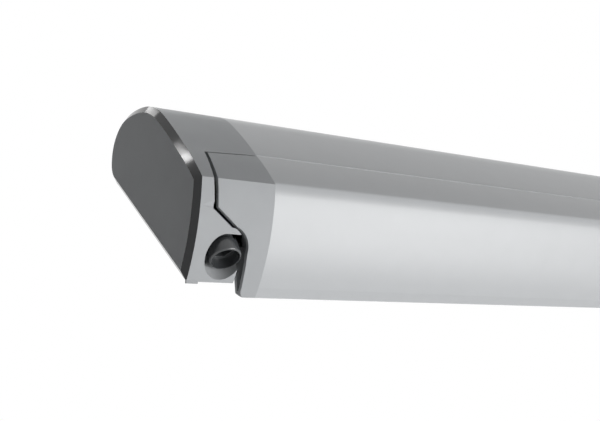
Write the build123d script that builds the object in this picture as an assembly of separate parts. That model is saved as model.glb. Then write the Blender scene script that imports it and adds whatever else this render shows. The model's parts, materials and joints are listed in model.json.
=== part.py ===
from build123d import *
import os
from math import cos, sin, tan, atan, radians, degrees

# Roof-mounted cassette awning, closed. X runs along the awning, Y to the back, Z up.
# Sections are drawn as (back, up) from the crease, the sharp edge of the front profile.
# Every finished piece is then moved so that the origin is the middle of the roof seat.

# Overall sizes, in millimetres
AWNING_LENGTH = 2600.0
CAP_WIDTH = 57.5
CAP_BEVEL = 3.5
BEVEL_IN = 4.8
HALF = AWNING_LENGTH / 2
PROFILE_END = HALF - CAP_WIDTH
WALL = 2.2
CAP_WALL = 3.0

# Key points of the section
CREASE = (0.0, 0.0)
SEAM_BACK = 26.2
SEAM_UP = 24.7
SEAM_LEAN = radians(42.0)
HOOD_POINTS = ((62.0, 53.4), (92.0, 65.6), (120.0, 66.4), (142.0, 56.6), (152.0, 31.0))
UNDER_FRONT = (29.0, -59.0)
UNDER_REAR = (141.5, 15.3)
RAIL_TOP = (25.0, 23.5)
RAIL_BOTTOM = (25.9, -73.7)
RAIL_REAR = 30.5
CAP_TOE_BACK = 20.2
UNDER_SLOPE = degrees(atan((UNDER_REAR[1] - UNDER_FRONT[1]) / (UNDER_REAR[0] - UNDER_FRONT[0])))

# Roof seat: middle of the sloping underside, and the two T-slots beside it
SEAT_BACK = 93.0
SLOT_OFFSET = 38.0
SLOT_MOUTH = 9.0
SLOT_INNER = 15.0
SLOT_LIP = 2.0
SLOT_DEPTH = 6.0
SLOT_RIB = 1.8
SLOT_BACK = SLOT_LIP + SLOT_DEPTH + SLOT_RIB
FLOOR_FRONT = -SLOT_OFFSET - SLOT_INNER / 2 - SLOT_RIB
SEAL_AT = 53.5
BASE_REAR = 49.0
SEAL_PAD = 4.2
NUT_BORE_R = 3.4
NUT_SIZE = (32.0, 14.2, 4.6)
NUT_X = 900.0

# Roller and fabric
ROLLER = (78.0, 10.0)
TUBE_R = 20.0
TUBE_WALL = 1.6
ROLL_R = 27.3
FABRIC_T = 0.5
FABRIC_HALF = 1215.0
KEDER = (34.5, 16.5)
KEDER_R = 2.7
SHEET_RISE = 38.6
SHEET_FREE = 34.0
JOURNAL_R = 6.0
JOURNAL_CLEAR = 0.06
LEFT_JOURNAL = 49.0
RIGHT_JOURNAL = 30.0

# Folding arms: both pivots of an arm lie in one plane that slopes to the front
ARM_PITCH = 14.0
ARM_PLANE_AT = (30.0, -21.6)
ARM_REACH = 1050.0
SHOULDER_X = 1130.0
ELBOW_X = SHOULDER_X - ARM_REACH
PIVOT_STEP = 9.8
ARM_WIDTH = 17.0
ARM_HEIGHT = 26.0
ARM_WALL = 2.0
PIN_R = 4.0
PIN_CLEAR = 0.06
EYE_R = 9.1
ELBOW_R = 12.0
TONGUE_HALF = 5.6
FORK_IN = 6.0
FORK_OUT = 12.4
TUBE_GAP = 24.0
TUBE_X = (-SHOULDER_X + TUBE_GAP, -ELBOW_X - TUBE_GAP)

# Legs, stored in the channel under the lead rail
LEG_BACK = 39.7
LEG_UP = -51.6
LEG_SIZE = (16.4, 17.0)
LEG_WALL = 1.6
LEG_PIVOT_X = 1195.0
LEG_LENGTH = 1120.0
LEG_INNER_LENGTH = 1085.0
SHELF_UP = -39.7
SHELF_T = 1.8
PEG_R = 3.0
CHANNEL_REAR = 50.5
CHANNEL_WALL = 1.5
CHANNEL_DEPTH = 17.0
WEB_BACK = 7.6

# Edges of the S-shaped parting line on the front, as (inboard of the bevel, up), top to bottom
CAP_EDGE = ((12.4, 21.4), (8.3, 0.0), (10.1, -19.0), (25.6, -30.2), (33.5, -36.6), (34.5, -46.0), (33.3, -80.0))
RAIL_EDGE = ((14.6, 21.0), (11.2, 0.0), (12.9, -18.2), (28.2, -29.6), (36.7, -36.6), (38.9, -46.0), (41.2, -68.5))
SEAM_END = (60.0, 24.3)
SEAM_GAP = 0.5
RAIL_CORNER = ((42.3, -72.2), (45.6, -74.2))

# Screws that hold the caps to the housing profile, on its underside
SCREW_X = PROFILE_END - 12.0
SCREW_OFFSETS = (-19.0, 22.0)
SCREW_R = 1.9
SCREW_LENGTH = 6.2

# Crank drive: the worm shaft leans towards the front and comes out of the left cap
DRIVE_LEAN = 56.0
DRIVE_DIRECTION = (0.0, cos(radians(DRIVE_LEAN)), sin(radians(DRIVE_LEAN)))
DRIVE_X = 23.4
DRIVE_AT = (11.9, -49.6)
CUP_R = 10.8
CUP_BELL = 10.0
CUP_NECK_R = 9.0
CUP_LENGTH = 21.0
CUP_SETBACK = -0.9
POCKET_R = 13.4
POCKET_X = 22.3
SOCKET_R = 7.8
SOCKET_DEPTH = 9.0
SHAFT_R = 3.5
WORM_R = 5.0
WORM_T = 86.4
WORM_AWAY = 21.5
CASE_HALF = 19.0
CASE_TOP = 30.0
WHEEL_R = 15.6
WHEEL_TEETH = 26
WHEEL_WIDTH = 11.0


def from_left(x):
    """Place along the awning of a point x millimetres inside the left cap's bevel."""
    return -HALF + CAP_BEVEL + x


def prism(outline, x_from, x_to):
    """Straight bar of a section drawn as (back, up)."""
    face = Plane.YZ.offset(x_from) * outline
    return extrude(face, amount=x_to - x_from, dir=(1, 0, 0))


def front_block(outline, back_from, back_to):
    """Bar of an outline drawn as (along, up) on the front, running to the back."""
    plane = Plane((0, back_from, 0), x_dir=(1, 0, 0), z_dir=(0, -1, 0))
    return extrude(plane * outline, amount=back_to - back_from, dir=(0, 1, 0))


def box_between(low, high):
    """Box from its lowest to its highest corner."""
    size = [b - a for a, b in zip(low, high)]
    middle = [(a + b) / 2 for a, b in zip(low, high)]
    return Pos(*middle) * Box(*size)


def rect(back_from, up_from, back_to, up_to):
    """Rectangle of a section."""
    middle = ((back_from + back_to) / 2, (up_from + up_to) / 2)
    return Pos(*middle) * Rectangle(back_to - back_from, up_to - up_from)


def upright(sketch):
    """Sketch of one face that looks up, so that faces add and subtract alike."""
    face = sketch.faces()[0]
    return Sketch() + (face if face.normal_at().Z > 0 else -face)


def closed_face(*edges):
    """Face inside a closed run of edges, drawn as (back, up)."""
    return upright(make_face(Curve() + list(edges)))


def mirrored(shape):
    """The same piece, or list of solids, at the other end of the awning."""
    if isinstance(shape, list):
        return [mirror(solid, about=Plane.YZ) for solid in shape]
    return mirror(shape, about=Plane.YZ)


def underside_up(back):
    """Height of the sloping underside at a place across the section."""
    return UNDER_FRONT[1] + (back - UNDER_FRONT[0]) * tan(radians(UNDER_SLOPE))


SEAT_UP = underside_up(SEAT_BACK)


def on_underside(offset, depth):
    """Point of the section, offset up the slope from the seat and depth into the housing."""
    lean = radians(UNDER_SLOPE)
    back = SEAT_BACK + offset * cos(lean) - depth * sin(lean)
    up = SEAT_UP + offset * sin(lean) + depth * cos(lean)
    return back, up


def slope_rect(offset_from, depth_from, offset_to, depth_to):
    """Rectangle of a section that lies along the sloping underside."""
    middle = on_underside((offset_from + offset_to) / 2, (depth_from + depth_to) / 2)
    flat = Rectangle(offset_to - offset_from, depth_to - depth_from)
    return Pos(*middle) * Rot(0, 0, UNDER_SLOPE) * flat


def front_arc(end=RAIL_BOTTOM):
    """Convex front of the lead rail, from the crease down."""
    return ThreePointArc(CREASE, (7.5, -38.8), end)


def back_arcs():
    """Hood and rounded back: arcs that run into each other, from the seam to the underside."""
    arcs = []
    start = (SEAM_BACK, SEAM_UP)
    tangent = (cos(SEAM_LEAN), sin(SEAM_LEAN))
    for end in HOOD_POINTS + (UNDER_REAR,):
        arc = TangentArc(start, end, tangent=tangent)
        arcs.append(arc)
        start = end
        tangent = arc % 1
    return arcs


def housing_face():
    """Cassette outline behind the seam, closed by a straight front."""
    return closed_face(
        *back_arcs(),
        Line(UNDER_REAR, UNDER_FRONT),
        Line(UNDER_FRONT, (SEAM_BACK, SEAM_UP)),
    )


def cap_face():
    """Whole outline of the end cap, with the rail's front face and top slope."""
    toe = (CAP_TOE_BACK, underside_up(CAP_TOE_BACK))
    return closed_face(
        *back_arcs(),
        Line(UNDER_REAR, toe),
        ThreePointArc(toe, (6.2, -35.0), CREASE),
        ThreePointArc(CREASE, (12.6, 12.9), (SEAM_BACK, SEAM_UP)),
    )


def rail_face():
    """Outline of the lead rail in front of its rear wall."""
    return closed_face(
        front_arc(),
        Line(RAIL_BOTTOM, (RAIL_REAR, -70.7)),
        Line((RAIL_REAR, -70.7), (RAIL_REAR, 21.2)),
        Line((RAIL_REAR, 21.2), (RAIL_TOP[0], 21.2)),
        Line((RAIL_TOP[0], 21.2), RAIL_TOP),
        ThreePointArc(RAIL_TOP, (12.2, 12.4), CREASE),
    )


def inset(face, depth):
    """The same face, drawn in by depth all round."""
    return upright(offset(face, amount=-depth))


def base_zone():
    """Part of the section that belongs to the bars of the base."""
    return slope_rect(FLOOR_FRONT - 1, -1, BASE_REAR, SLOT_BACK + 1)


def housing_shell():
    """Wall of the cassette, open at the front between the hood's lip and the floor."""
    outline = housing_face()
    shell = outline - inset(outline, WALL)
    shell -= rect(0, -80, 33, 12)
    return shell - rect(0, 10, SEAM_BACK + 4.3, 22.4) - slope_rect(-90, -5, FLOOR_FRONT, SLOT_BACK + 0.1)


def cassette_housing():
    """Extruded hood and rounded back, with a groove for the seal on the roof."""
    section = housing_shell() - base_zone()
    section += slope_rect(BASE_REAR + 0.1, 1, SEAL_AT + 4, SEAL_PAD)
    section -= slope_rect(SEAL_AT - 3, -1, SEAL_AT + 3, 2.0)
    return prism(section, -PROFILE_END, PROFILE_END)


def base_bar(edge_from, edge_to, ribs):
    """Section of one flat bar of the underside, with the upright walls of the T-slots."""
    section = slope_rect(edge_from, 0, edge_to, SLOT_LIP)
    for rib in ribs:
        section += slope_rect(rib, 0, rib + SLOT_RIB, SLOT_LIP + SLOT_DEPTH)
    return section


def base_front():
    """Front bar of the underside, one lip and one wall of the front T-slot."""
    section = base_bar(FLOOR_FRONT, -SLOT_OFFSET - SLOT_MOUTH / 2, [FLOOR_FRONT])
    return prism(section, -PROFILE_END, PROFILE_END)


def base_middle():
    """Middle bar of the underside, between the T-slots, with the holes for the cap screws."""
    edge = SLOT_OFFSET - SLOT_MOUTH / 2
    rib = SLOT_OFFSET - SLOT_INNER / 2
    section = base_bar(-edge, edge, [-rib, rib - SLOT_RIB])
    section += slope_rect(SLOT_RIB - rib, 0, rib - SLOT_RIB, WALL)
    bar = prism(section, -PROFILE_END, PROFILE_END)
    for place in screw_planes():
        bar -= place * Cylinder(SCREW_R + 0.1, 20)
    return bar


def base_rear():
    """Rear bar of the underside, hooked over the lower edge of the hood."""
    section = base_bar(SLOT_OFFSET + SLOT_MOUTH / 2, BASE_REAR, [SLOT_OFFSET + SLOT_INNER / 2])
    section += slope_rect(BASE_REAR - 3, SEAL_PAD + 0.1, BASE_REAR + 4, SEAL_PAD + 2)
    return prism(section, -PROFILE_END, PROFILE_END)


def slot_covers():
    """Two flat bars that close the T-slots inside the cassette and tie the base together."""
    half = SLOT_INNER / 2 + SLOT_RIB
    covers = []
    for middle in (-SLOT_OFFSET, SLOT_OFFSET):
        flat = slope_rect(middle - half, SLOT_BACK - SLOT_RIB + 0.05, middle + half, SLOT_BACK)
        covers.append(prism(flat, -PROFILE_END, PROFILE_END))
    return covers


def roof_seal():
    """Foam strip in the groove at the rear of the underside."""
    return prism(slope_rect(SEAL_AT - 2.9, 0.1, SEAL_AT + 2.9, 1.9), -PROFILE_END, PROFILE_END)


def screw_planes():
    """Places of the cap screws on the underside, with Z into the housing."""
    lean = radians(UNDER_SLOPE)
    planes = []
    for x in (-SCREW_X, SCREW_X):
        for offset in SCREW_OFFSETS:
            origin = (x, *on_underside(offset, 0))
            planes.append(Plane(origin, x_dir=(1, 0, 0), z_dir=(0, -sin(lean), cos(lean))))
    return planes


def cap_spigots():
    """Two tongues of the left cap that lie on the housing floor and take the screws."""
    inner = from_left(CAP_WIDTH - CAP_BEVEL)
    tongues = Part()
    for offset in SCREW_OFFSETS:
        flat = slope_rect(offset - 5, WALL + 0.05, offset + 5, WALL + 4.6)
        root = slope_rect(offset - 5, 1, offset + 5, WALL + 4.6)
        tongues += prism(flat, inner - 4, inner + 22) + prism(root, inner - 9, inner)
    for place in screw_planes():
        tongues -= place * Cylinder(SCREW_R, 20)
    return tongues


def parting_path(edge):
    """One edge of the parting line: straight, straight, diagonal, round, straight."""
    top, crease, knee, bend, belly, flank, low = edge
    return [
        Line(top, crease),
        Line(crease, knee),
        Line(knee, bend),
        ThreePointArc(bend, belly, flank),
        Line(flank, low),
    ]


def inboard_of_cap():
    """Front outline of everything inboard of the end cap's edge, at the left end."""
    low, right = CAP_EDGE[-1], SEAM_END[0]
    outline = closed_face(
        *parting_path(CAP_EDGE),
        Line(low, (right, low[1])),
        Line((right, low[1]), SEAM_END),
        Line(SEAM_END, CAP_EDGE[0]),
    )
    return Pos(from_left(0), 0) * outline


def rail_cap_front():
    """Front outline of the rail's cap, with a round lower corner."""
    low, right = RAIL_EDGE[-1], SEAM_END[0]
    round_from, round_to = RAIL_CORNER
    top_right = (right, SEAM_END[1] - SEAM_GAP)
    outline = closed_face(
        *parting_path(RAIL_EDGE),
        ThreePointArc(low, round_from, round_to),
        Line(round_to, (right, round_to[1])),
        Line((right, round_to[1]), top_right),
        Line(top_right, RAIL_EDGE[0]),
    )
    return Pos(from_left(0), 0) * outline


def drive_axis(distance):
    """Point on the crank shaft's axis, distance up from the mouth of the pocket."""
    back = DRIVE_AT[0] + distance * cos(radians(DRIVE_LEAN))
    up = DRIVE_AT[1] + distance * sin(radians(DRIVE_LEAN))
    return from_left(DRIVE_X), back, up


def drive_rod(radius, start, end):
    """Round bar on the crank shaft's axis."""
    plane = Plane(drive_axis(start), x_dir=(1, 0, 0), z_dir=DRIVE_DIRECTION)
    return extrude(plane * Circle(radius), amount=end - start)


def end_cap_shell():
    """Moulded cap at the left end: bevelled outer face, hollow, cut away for the lead rail."""
    outer = from_left(-CAP_BEVEL)
    inner = from_left(CAP_WIDTH - CAP_BEVEL)
    body = prism(cap_face(), outer, inner)
    side = body.faces().sort_by(Axis.X)[0]
    body = chamfer(side.edges(), BEVEL_IN, CAP_BEVEL, reference=side)
    body -= prism(inset(cap_face(), CAP_WALL), from_left(2.5), inner)
    upper = inboard_of_cap()
    body -= front_block(upper, -10, SEAM_BACK)
    lower = upper - Pos(0, 36.4) * Rectangle(3 * HALF, 30)
    body -= front_block(lower, -10, 54.5)
    toe_up = underside_up(CAP_TOE_BACK)
    tab = box_between((from_left(-0.3), 19.6, toe_up - 1.2), (from_left(8), 24, toe_up + 1.5))
    return body + tab


def corner_block(depth):
    """Solid lower corner of the left cap, outboard of the parting line."""
    ramp = Polyline((0, -14), (9, -19.5), (40, -19.5), (40, -67), (0, -67), close=True)
    corner = front_block(Pos(from_left(2), 0) * make_face(ramp), -10, depth)
    corner &= prism(cap_face(), from_left(1), from_left(45))
    return corner - front_block(inboard_of_cap(), -10, 60)


def crank_pocket():
    """Bore for the crank cup, open to the parting line beside it, and a bore for the shaft."""
    mouth = Plane(drive_axis(-30), x_dir=(1, 0, 0), z_dir=DRIVE_DIRECTION)
    hole = Pos(POCKET_X - DRIVE_X, 0) * Circle(POCKET_R) + Pos(11, -4) * Rectangle(22, 2 * POCKET_R - 8)
    return extrude(mouth * hole, amount=56) + drive_rod(7.5, 25, 60)


def end_cap_left():
    """Left cap, with the crank pocket in its solid corner."""
    pocket = crank_pocket()
    return end_cap_shell() - pocket + cap_spigots() + (corner_block(46) - pocket)


def end_cap_right():
    """Right cap: the left one's mirror image, with a plain front corner."""
    return mirrored(end_cap_shell() + cap_spigots() + corner_block(30))


def lead_rail():
    """Extruded front profile: convex face, leg channel, arm bay and groove for the fabric."""
    outline = rail_face()
    section = outline - inset(outline, 1.9)
    section -= rect(20, SHELF_UP, 40, 9)
    shelf = rect(0, SHELF_UP - SHELF_T, CHANNEL_REAR, SHELF_UP) & (outline + rect(25, -60, 60, 0))
    section += shelf
    section += rect(CHANNEL_REAR - CHANNEL_WALL, SHELF_UP - CHANNEL_DEPTH, CHANNEL_REAR, SHELF_UP)
    section += rect(WEB_BACK - 2, SHELF_UP - 1, WEB_BACK, -7) & outline
    section += rect(3, -9, WEB_BACK, -7) & outline
    section += Pos(*KEDER) * Circle(KEDER_R + 1.7)
    section -= Pos(*KEDER) * Circle(KEDER_R + 0.3)
    section -= Pos(*KEDER) * Rot(0, 0, 32) * Pos(5, 0) * Rectangle(10, 2.2)
    return prism(section, -PROFILE_END, PROFILE_END)


def rail_cap():
    """Moulded end of the lead rail at the left, flush with its front and cut to the S line."""
    inner = from_left(CAP_WIDTH - CAP_BEVEL)
    outline = rail_face()
    skin = outline - inset(outline, CAP_WALL)
    skin -= rect(26, SHELF_UP, 40, 9)
    cap = prism(skin, from_left(5), inner)
    plate = outline + rect(25, SHELF_UP - CHANNEL_DEPTH, CHANNEL_REAR, SHELF_UP)
    cap += prism(plate, inner - 8, inner)
    cap &= front_block(rail_cap_front(), -10, 60)
    return cap


def keder_rod():
    """Round cord sewn into the front hem of the fabric."""
    return prism(Pos(*KEDER) * Circle(KEDER_R), -FABRIC_HALF, FABRIC_HALF)


def canopy_sheet():
    """Short free stretch of fabric between the roll and the rail, as it lies when closed."""
    reach = Vector(ROLLER[0] - KEDER[0], ROLLER[1] - KEDER[1])
    lift = degrees(atan(reach.Y / reach.X)) + SHEET_RISE
    length = SHEET_FREE - 2 * KEDER_R
    strip = Pos(*KEDER) * Rot(0, 0, lift) * Pos(KEDER_R + 0.4 + length / 2, 0)
    return prism(strip * Rectangle(length, FABRIC_T), -FABRIC_HALF, FABRIC_HALF)


def ring(outer, inner, x_from, x_to):
    """Round tube on the roller's axis."""
    return prism(Pos(*ROLLER) * (Circle(outer) - Circle(inner)), x_from, x_to)


def disc(radius, x_from, x_to):
    """Round bar on the roller's axis."""
    return prism(Pos(*ROLLER) * Circle(radius), x_from, x_to)


def roller_tube():
    """Extruded aluminium tube."""
    return ring(TUBE_R, TUBE_R - TUBE_WALL, -PROFILE_END + 4, PROFILE_END - 4)


def fabric_roll():
    """Fabric wound on the tube."""
    return ring(ROLL_R, TUBE_R + 0.05, -FABRIC_HALF, FABRIC_HALF)


def roller_plug(journal):
    """Right end plug pressed into the tube, with a journal that reaches so far past it."""
    tube_end = PROFILE_END - 4
    plug = disc(TUBE_R - TUBE_WALL, tube_end - 40, tube_end + 3)
    return plug + disc(JOURNAL_R, tube_end + 3, tube_end + journal)


def worm_wheel():
    """Toothed wheel on the roller's left journal."""
    tooth = Pos(WHEEL_R - 1.2, 0) * Rectangle(3.0, 1.6)
    teeth = [Rot(0, 0, 360 * i / WHEEL_TEETH) * tooth for i in range(WHEEL_TEETH)]
    face = Pos(*ROLLER) * (Sketch() + [Circle(WHEEL_R - 2), *teeth] - Circle(JOURNAL_R))
    middle = from_left(DRIVE_X)
    return prism(face, middle - WHEEL_WIDTH / 2, middle + WHEEL_WIDTH / 2)


def crank_worm():
    """Worm and its shaft, on the crank axis."""
    shaft = drive_rod(SHAFT_R, CUP_LENGTH - 3, WORM_T + 17)
    return shaft + drive_rod(WORM_R, WORM_T - 11, WORM_T + 11)


def crank_cup():
    """Bell-mouthed cup that takes the hooked crank, with a six-sided socket."""
    start = CUP_SETBACK
    mouth = Plane(drive_axis(start), x_dir=(1, 0, 0), z_dir=DRIVE_DIRECTION)
    cup = drive_rod(CUP_R, start, start + CUP_BELL) + drive_rod(CUP_NECK_R, start, CUP_LENGTH)
    cup -= drive_rod(9.6, start - 1, start + 8)
    socket = extrude(mouth.offset(7) * RegularPolygon(SOCKET_R, 6), amount=SOCKET_DEPTH)
    cup -= socket
    cup -= drive_rod(SHAFT_R, CUP_LENGTH - 3, CUP_LENGTH + 1)
    lip = cup.edges().filter_by(GeomType.CIRCLE).sort_by(Axis.Z)[0:1]
    return chamfer(lip, 0.8)


def gearbox_housing():
    """Gear case screwed inside the left cap, bored for the worm and the wheel."""
    middle = from_left(DRIVE_X)
    left, right = from_left(2.55), middle + 12
    tilted = Pos(*ROLLER) * Rot(0, 0, DRIVE_LEAN)
    outline = Pos(0, (CASE_TOP - CASE_HALF) / 2) * Rectangle(2 * CASE_HALF, CASE_TOP + CASE_HALF)
    case = prism(tilted * outline, left, right)
    wheel_room = 2 * WHEEL_R + 1
    hollow = Rectangle(wheel_room, wheel_room) + Pos(0, WORM_AWAY) * Rectangle(23, 2 * WORM_R + 1)
    half = WHEEL_WIDTH / 2 + 0.5
    case -= prism(tilted * hollow, middle - half, middle + half)
    case -= disc(JOURNAL_R + JOURNAL_CLEAR, middle - 15, middle + 20)
    return case - drive_rod(SHAFT_R + JOURNAL_CLEAR, WORM_T - 30, WORM_T + 17.5)


def roller_bearing():
    """Plain bearing block inside the right cap."""
    inner = PROFILE_END + 3
    foot = Polyline((64, 24), (64, -27.6), (92, -9.1), (92, 24), close=True)
    block = prism(upright(make_face(foot)), inner, inner + 18)
    return block - disc(JOURNAL_R + JOURNAL_CLEAR, inner - 1, inner + 30)


def cap_screws():
    """Screws up through the housing floor into the caps' tongues, two a side."""
    shank = Pos(0, 0, SCREW_LENGTH / 2 + 0.1) * Cylinder(SCREW_R, SCREW_LENGTH)
    return [place * shank for place in screw_planes()]


def slot_nuts():
    """Four tapped plates in the T-slots, for the roof bolts."""
    nuts = {}
    for row, offset_at in (("front", -SLOT_OFFSET), ("rear", SLOT_OFFSET)):
        middle = on_underside(offset_at, SLOT_LIP + NUT_SIZE[2] / 2 + 0.1)
        for end, x in (("left", -NUT_X), ("right", NUT_X)):
            plate = Box(*NUT_SIZE) - Cylinder(NUT_BORE_R, 2 * NUT_SIZE[2])
            nuts[f"slot_nut_{row}_{end}"] = Pos(x, *middle) * Rot(UNDER_SLOPE, 0, 0) * plate
    return nuts


# Arm plane: x along the awning, y to the back, z square to the plane
ARM_PLANE = Plane((0, *ARM_PLANE_AT), x_dir=(1, 0, 0),
                  z_dir=(0, -sin(radians(ARM_PITCH)), cos(radians(ARM_PITCH))))


def in_arm_plane(shape):
    """Shape drawn in the arm plane's own coordinates, put in its place."""
    return ARM_PLANE.location * shape


def post(x, y, radius, z_from, z_to):
    """Upright round bar in the arm plane's coordinates."""
    return Pos(x, y, (z_from + z_to) / 2) * Cylinder(radius, z_to - z_from)


def arm_tube(y):
    """Rounded oblong tube of an arm."""
    x_from, x_to = TUBE_X
    size = (ARM_WIDTH, ARM_HEIGHT)
    bore = Rectangle(size[0] - 2 * ARM_WALL, size[1] - 2 * ARM_WALL)
    flat = RectangleRounded(*size, 3.5) - bore
    tube = extrude(Plane.YZ * flat, amount=x_to - x_from, dir=(1, 0, 0))
    return Pos(x_from, y, 0) * tube


def arm_plug(x_from, x_to, y):
    """Part of a casting that fills the end of an arm's tube."""
    half_width = ARM_WIDTH / 2 - ARM_WALL - 0.05
    half_height = ARM_HEIGHT / 2 - ARM_WALL - 0.05
    return block(x_from, x_to, y - half_width, y + half_width, half_height)


def block(x_from, x_to, y_from, y_to, z_half):
    """Block of a casting, even about the arm plane."""
    return box_between((x_from, y_from, -z_half), (x_to, y_to, z_half))


def upper_arm():
    """Tube of the upper arm, the rear one when folded."""
    return in_arm_plane(arm_tube(PIVOT_STEP))


def forearm():
    """Tube of the forearm, the front one when folded."""
    return in_arm_plane(arm_tube(-PIVOT_STEP))


def shoulder_casting():
    """Casting at the cassette end of the upper arm, with the shoulder eye."""
    x = -SHOULDER_X
    body = post(x, PIVOT_STEP, EYE_R, -TONGUE_HALF, TONGUE_HALF)
    body += block(x, x + 13, PIVOT_STEP - 7.5, PIVOT_STEP + 7.5, TONGUE_HALF)
    body += block(x + 12, x + TUBE_GAP, PIVOT_STEP - 8, PIVOT_STEP + 8, 12.5)
    body += arm_plug(x + TUBE_GAP - 1, x + TUBE_GAP + 45, PIVOT_STEP)
    body -= post(x, PIVOT_STEP, PIN_R + PIN_CLEAR, -20, 20)
    return in_arm_plane(body)


def elbow_fork():
    """Casting at the elbow end of the upper arm, with two ears."""
    x = -ELBOW_X
    ears = post(x, 0, ELBOW_R, -FORK_OUT, FORK_OUT)
    ears += block(x - TUBE_GAP + 2, x, 1.2, ELBOW_R, FORK_OUT)
    ears -= block(x - 13.4, x + 20, -20, 20, FORK_IN)
    ears -= block(x - 17, x, -20, 0.8, FORK_IN)
    ears += block(x - TUBE_GAP, x - 14.5, 1.2, PIVOT_STEP + 8, 12.5)
    ears += arm_plug(x - TUBE_GAP - 45, x - TUBE_GAP + 1, PIVOT_STEP)
    ears -= post(x, 0, PIN_R, -20, 20)
    return in_arm_plane(ears)


def elbow_tongue():
    """Casting at the elbow end of the forearm, with one eye between the ears."""
    x = -ELBOW_X
    body = post(x, 0, ELBOW_R - 0.5, -TONGUE_HALF, TONGUE_HALF)
    body += block(x - TUBE_GAP + 2, x, -ELBOW_R + 0.5, -1.2, TONGUE_HALF)
    body += block(x - TUBE_GAP, x - 14.5, -PIVOT_STEP - 8, -1.2, 12.5)
    body += arm_plug(x - TUBE_GAP - 45, x - TUBE_GAP + 1, -PIVOT_STEP)
    body -= post(x, 0, PIN_R + PIN_CLEAR, -20, 20)
    return in_arm_plane(body)


def wrist_casting():
    """Casting at the rail end of the forearm, with the wrist eye."""
    x = -SHOULDER_X
    body = post(x, -PIVOT_STEP, EYE_R, -TONGUE_HALF, TONGUE_HALF)
    body += block(x, x + 13, -PIVOT_STEP - 7.5, -PIVOT_STEP + 7.5, TONGUE_HALF)
    body += block(x + 12, x + TUBE_GAP, -PIVOT_STEP - 8, -PIVOT_STEP + 8, 12.5)
    body += arm_plug(x + TUBE_GAP - 1, x + TUBE_GAP + 45, -PIVOT_STEP)
    body -= post(x, -PIVOT_STEP, PIN_R + PIN_CLEAR, -20, 20)
    return in_arm_plane(body)


def pivot_pin(x, y, length):
    """Plain steel pin."""
    return in_arm_plane(post(x, y, PIN_R, -length / 2, length / 2))


def arm_spring():
    """Tension spring inside the upper arm, as a plain bar."""
    return in_arm_plane(Pos(-600, PIVOT_STEP, 0) * Rot(0, 90, 0) * Cylinder(5.5, 560))


def shoulder_bracket():
    """Cast bracket on the housing floor, with two ears round the shoulder eye."""
    x = -SHOULDER_X
    ears = post(x, PIVOT_STEP, EYE_R - 0.1, -FORK_OUT, FORK_OUT)
    ears += block(x - 9, x + 9, PIVOT_STEP, PIVOT_STEP + 14, FORK_OUT)
    ears -= block(x - 12, x + 12, PIVOT_STEP - 12, PIVOT_STEP + EYE_R + 0.4, FORK_IN)
    ears -= block(x + 8.6, x + 14, -20, 60, 30)
    ears -= post(x, PIVOT_STEP, PIN_R, -20, 20)
    slot_end = FLOOR_FRONT + SLOT_INNER + 2 * SLOT_RIB + 0.1
    top = SLOT_BACK + 4
    base = slope_rect(-38, SLOT_BACK + 0.05, -24, top) + slope_rect(slot_end, WALL + 0.05, -24, top)
    neck = Polyline((50.6, -32.7), (62, -25.1), (62, -22), (52.5, -9), (50.6, -9), close=True)
    bridge = prism(upright(make_face(neck)), x - 9, x + 8.6)
    return in_arm_plane(ears) + bridge + prism(base, x - 34, x + 34)


def rail_bracket():
    """Clevis screwed to the web of the lead rail, round the wrist eye."""
    x = -SHOULDER_X
    ears = post(x, -PIVOT_STEP, EYE_R - 0.1, -FORK_OUT, FORK_OUT)
    ears += block(x - 9, x + 8.6, -PIVOT_STEP - 12, -PIVOT_STEP, FORK_OUT)
    ears -= block(x - 12, x + 14, -PIVOT_STEP - EYE_R - 0.2, -PIVOT_STEP + 12, FORK_IN)
    ears -= post(x, -PIVOT_STEP, PIN_R, -20, 20)
    clevis = in_arm_plane(ears) - box_between((x - 60, -20, -80), (x + 60, WEB_BACK + 0.05, 40))
    foot = box_between((x - 24, WEB_BACK + 0.05, -32.6), (x + 9, WEB_BACK + 2.4, -11))
    return clevis + foot


def leg_tube():
    """Outer square tube of a leg, open at its inner end."""
    bore = Rectangle(LEG_SIZE[0] - 2 * LEG_WALL, LEG_SIZE[1] - 2 * LEG_WALL)
    flat = RectangleRounded(*LEG_SIZE, 2.0) - bore
    start = -LEG_PIVOT_X + 10
    return prism(Pos(LEG_BACK, LEG_UP) * flat, start, start + LEG_LENGTH)


def leg_head():
    """Moulded head of a leg, with the bore for its hinge pin."""
    x = -LEG_PIVOT_X
    width = LEG_SIZE[0]
    head = Pos(x, LEG_BACK, LEG_UP) * Rot(90, 0, 0) * Cylinder(8.0, width)
    head += box_between((x, LEG_BACK - width / 2, LEG_UP - 8), (x + 10, LEG_BACK + width / 2, LEG_UP + 8))
    head += Pos(x + 20, LEG_BACK, LEG_UP) * Box(30, width - 2 * LEG_WALL - 0.2, LEG_SIZE[1] - 2 * LEG_WALL - 0.2)
    return head - Pos(x, LEG_BACK, LEG_UP) * Rot(90, 0, 0) * Cylinder(PIN_R + PIN_CLEAR, 40)


def leg_mount():
    """Bracket in the rail's channel that carries the leg's hinge pin."""
    x = -LEG_PIVOT_X
    front = LEG_BACK - LEG_SIZE[0] / 2 - 0.25
    rear = LEG_BACK + LEG_SIZE[0] / 2 + 0.25
    bottom = LEG_UP - 6
    pin = Pos(x, LEG_BACK, LEG_UP) * Rot(90, 0, 0) * Cylinder(PIN_R, 17)
    cheeks = box_between((x - 9, front - 0.6, bottom), (x + 8, front, LEG_UP + 9.6))
    cheeks += box_between((x - 9, rear, bottom), (x + 8, rear + 0.6, LEG_UP + 9.6))
    roof = box_between((x - 22, front - 0.6, LEG_UP + 8.9), (x + 8, rear + 0.6, LEG_UP + 10.0))
    return cheeks + roof + pin


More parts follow.
